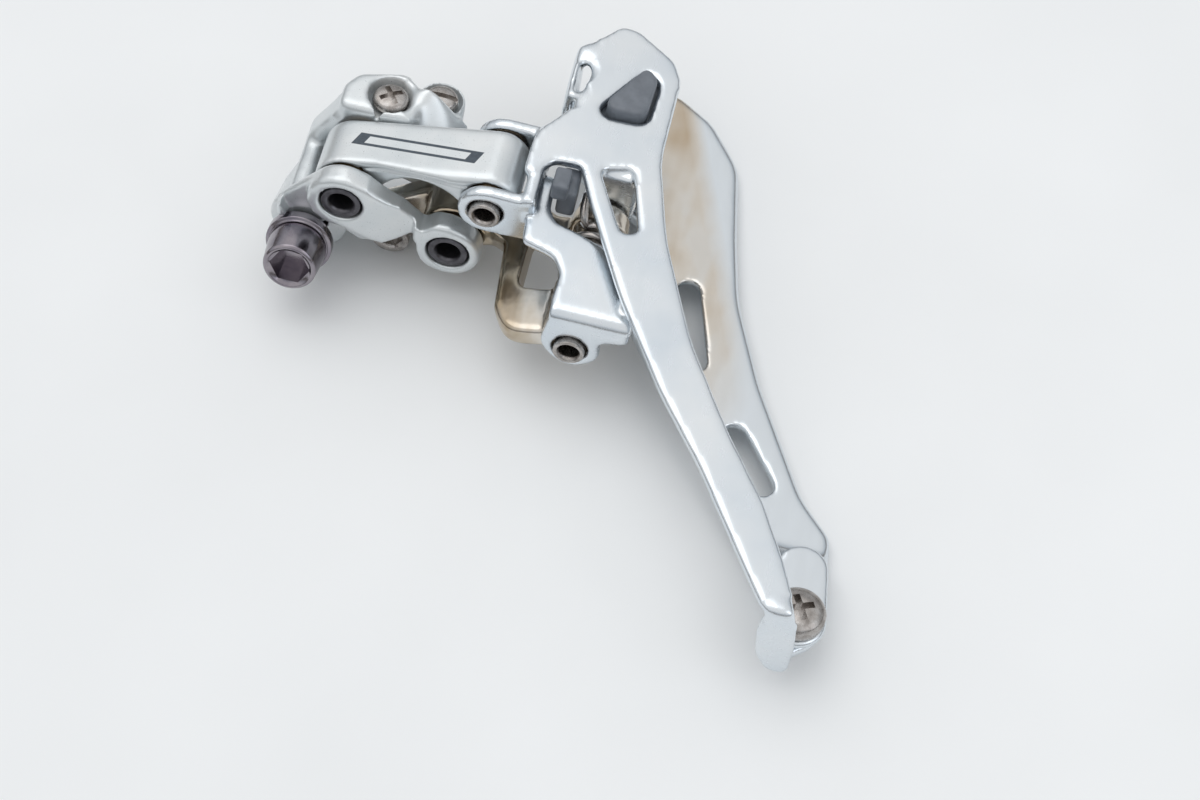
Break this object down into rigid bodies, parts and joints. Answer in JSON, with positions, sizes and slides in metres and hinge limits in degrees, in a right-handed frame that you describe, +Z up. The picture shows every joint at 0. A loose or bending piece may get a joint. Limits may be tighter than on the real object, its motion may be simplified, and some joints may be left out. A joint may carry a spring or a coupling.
{
  "type": "front derailleur",
  "caption": "Braze-on bicycle front derailleur: cast body on a curved saddle, four-bar linkage of two short links, and a two-plate chain cage sprung back to its inner stop.",
  "frame": {"origin": "centre of the footprint on the surface that the derailleur lies on, as pictured, with the outer cage plate up", "axes": "+Z is up from that surface, which is outboard less a 12 degree lean; +Y is forward along the pivot pins, less a 4 degree rise; +X points down the bicycle, towards the cage"},
  "size_m": [0.087, 0.0924, 0.0221],
  "materials": {
    "cast_aluminium": "fine blasted and anodised, slightly satin",
    "sheet_aluminium": "satin",
    "nickel_steel": "polished nickel plate",
    "dark_chrome": "polished dark plate",
    "steel": "plated",
    "bronze": "plain bearing metal",
    "plastic": "moulded, dark grey"
  },
  "bodies": {
    "body": {"body_casting": "cast_aluminium", "mounting_bolt": "dark_chrome", "mounting_washer": "dark_chrome", "limit_screw_inner": "steel", "limit_screw_outer": "steel", "pivot_pin_body_outer": "dark_chrome", "pivot_pin_body_inner": "dark_chrome"},
    "outer_link": {"outer_link": "cast_aluminium", "bush_body_outer": "bronze", "bush_cage_outer": "bronze"},
    "inner_link": {"inner_link": "nickel_steel", "bush_body_inner": "bronze", "bush_cage_inner": "bronze", "cable_anchor_bolt": "steel", "cable_pinch_washer": "steel"},
    "cage": {"outer_cage_plate": "sheet_aluminium", "inner_cage_plate": "nickel_steel", "nose_rivet_rear": "steel", "nose_rivet_front": "steel", "tail_screw": "steel", "guide_pad": "plastic", "bumper_block": "plastic", "pivot_pin_cage_outer": "nickel_steel", "pivot_pin_cage_inner": "nickel_steel", "return_spring": "steel"}
  },
  "joints": [
    {"name": "outer_link_pivot", "type": "hinge", "parent": "body", "child": "outer_link", "pos_m": [-0.03069, 0.01029, 0.01672], "axis": [0, -0.9973, 0.0735], "range_deg": [0, 38], "stiffness_Nm_per_rad": 0.1, "springref_deg": -17.19},
    {"name": "cage_pivot", "type": "hinge", "parent": "outer_link", "child": "cage", "pos_m": [-0.01022, 0.01037, 0.01789], "axis": [0, -0.9973, 0.0735], "range_deg": [-38, 0]},
    {"name": "inner_link_pivot", "type": "hinge", "parent": "body", "child": "inner_link", "pos_m": [-0.01649, 0.0097, 0.00877], "axis": [0, -0.9973, 0.0735], "range_deg": [0, 38]}
  ],
  "couplings": [
    {"joint": "cage_pivot", "follows": "outer_link_pivot", "ratio": -1},
    {"joint": "inner_link_pivot", "follows": "outer_link_pivot", "ratio": 1}
  ]
}
